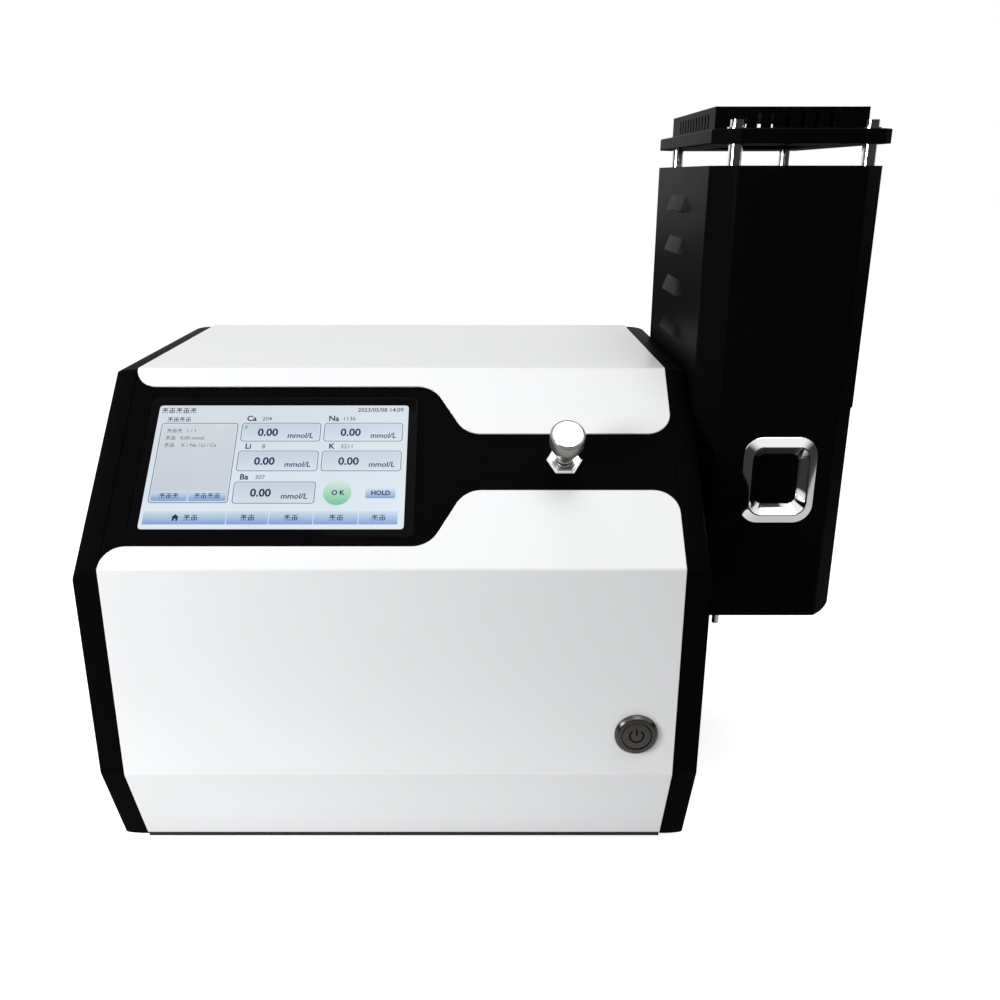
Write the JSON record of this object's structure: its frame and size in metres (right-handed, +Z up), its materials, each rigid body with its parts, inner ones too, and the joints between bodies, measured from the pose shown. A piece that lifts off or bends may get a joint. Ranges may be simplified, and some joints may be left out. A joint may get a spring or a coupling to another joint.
{
  "type": "flame photometer",
  "caption": "Bench flame photometer: sloping-front case with touch screen, needle-valve knob and push button, burner tower at the side.",
  "frame": {"origin": "on the bench surface under the middle of the whole instrument's box", "axes": "+X to the right as the user faces the screen, with the burner tower at the +X end; +Y to the back; +Z up"},
  "size_m": [0.464, 0.31, 0.4567],
  "materials": {
    "black_case": "satin black moulding",
    "white_cover": "semi-gloss white powder coat",
    "black_steel": "fine textured black powder coat",
    "zinc_sheet": "zinc plated sheet",
    "foot_rubber": "matte black rubber",
    "steel_hardware": "plated steel",
    "black_screws": "blackened steel",
    "screen_glass": "touch glass over a lit display",
    "display_metal": "plain stamped metal",
    "button_metal": "dark polished metal",
    "brass": "machined brass",
    "nickel": "polished nickel plate",
    "stainless": "turned stainless steel",
    "circuit_board": "green solder mask",
    "black_anodised": "black anodised aluminium",
    "lens_glass": "clear polished glass",
    "regulator_aluminium": "cast body",
    "fuel_hose": "orange gas hose",
    "air_hose": "blue polyurethane tube",
    "black_plastic": "black moulded plastic",
    "guard_wire": "bright plated wire",
    "tower_paint": "satin black stove enamel",
    "chrome": "polished chrome",
    "window_glass": "smoked heat-resistant glass"
  },
  "bodies": {
    "case": {"base_pan": "black_steel", "inner_frame": "zinc_sheet", "rear_panel": "black_steel", "left_cheek": "black_case", "right_cheek": "black_case", "lower_front_cover": "white_cover", "top_cover": "white_cover", "control_bezel": "black_case", "rubber_feet": "foot_rubber", "foot_screws": "steel_hardware", "case_screws": "black_screws", "display_glass": "screen_glass", "display_module": "display_metal", "display_bracket": "zinc_sheet", "power_button_bezel": "button_metal", "power_button_nut": "steel_hardware", "power_button_spring": "steel_hardware", "valve_body": "nickel", "valve_panel_nut": "nickel", "main_board": "circuit_board", "board_standoffs": "brass", "power_supply": "zinc_sheet", "optical_bench": "black_anodised", "collimator_lens": "lens_glass", "filter_motor": "black_anodised", "photodetector": "black_anodised", "solenoid_valve": "brass", "air_regulator": "regulator_aluminium", "gas_inlet_fitting": "brass", "air_inlet_fitting": "brass", "fuel_hoses": "fuel_hose", "air_hoses": "air_hose", "fan_frame": "black_plastic", "fan_guard": "guard_wire", "power_inlet": "black_plastic", "data_ports": "display_metal", "burner_housing": "tower_paint", "chimney_shell": "tower_paint", "window_frame": "chrome", "window_glass": "window_glass", "burner_head": "stainless", "mixing_chamber": "stainless", "nebuliser": "stainless", "igniter_electrode": "stainless", "flame_sensor": "stainless", "heat_shield": "stainless", "standoff_posts": "chrome", "top_plate": "tower_paint", "vent_cowl": "tower_paint", "cap_screws": "chrome", "drain_fitting": "brass"},
    "button": {"power_button_cap": "button_metal"},
    "needle": {"valve_needle": "stainless"},
    "knob": {"valve_knob": "nickel", "valve_spindle": "stainless", "knob_set_screw": "black_screws"},
    "filter_wheel": {"filter_wheel": "black_anodised", "interference_filters": "lens_glass"},
    "fan_rotor": {"fan_rotor": "black_plastic"},
    "fuse_drawer": {"fuse_drawer": "black_plastic"}
  },
  "joints": [
    {"name": "power_press", "type": "slide", "parent": "case", "child": "button", "axis": [0, 1, 0], "range_m": [0, 0.003], "stiffness_N_per_m": 400, "deforming": ["power_button_spring"]},
    {"name": "needle_travel", "type": "slide", "parent": "case", "child": "needle", "axis": [0, -0.6809, 0.7324], "range_m": [-0.001, 0.002]},
    {"name": "knob_turn", "type": "hinge", "parent": "needle", "child": "knob", "pos_m": [0.0503, -0.11244, 0.27035], "axis": [0, -0.6809, 0.7324], "range_deg": [-720, 1440]},
    {"name": "filter_wheel_turn", "type": "hinge", "parent": "case", "child": "filter_wheel", "pos_m": [0.072, 0.037, 0.237], "axis": [1, 0, 0], "continuous": true},
    {"name": "fan_spin", "type": "hinge", "parent": "case", "child": "fan_rotor", "pos_m": [-0.11, 0.1243, 0.17], "axis": [0, 1, 0], "continuous": true},
    {"name": "fuse_drawer_slide", "type": "slide", "parent": "case", "child": "fuse_drawer", "axis": [0, 1, 0], "range_m": [0, 0.018]}
  ],
  "couplings": [
    {"joint": "knob_turn", "follows": "needle_travel", "rad_per_m": 12566}
  ]
}
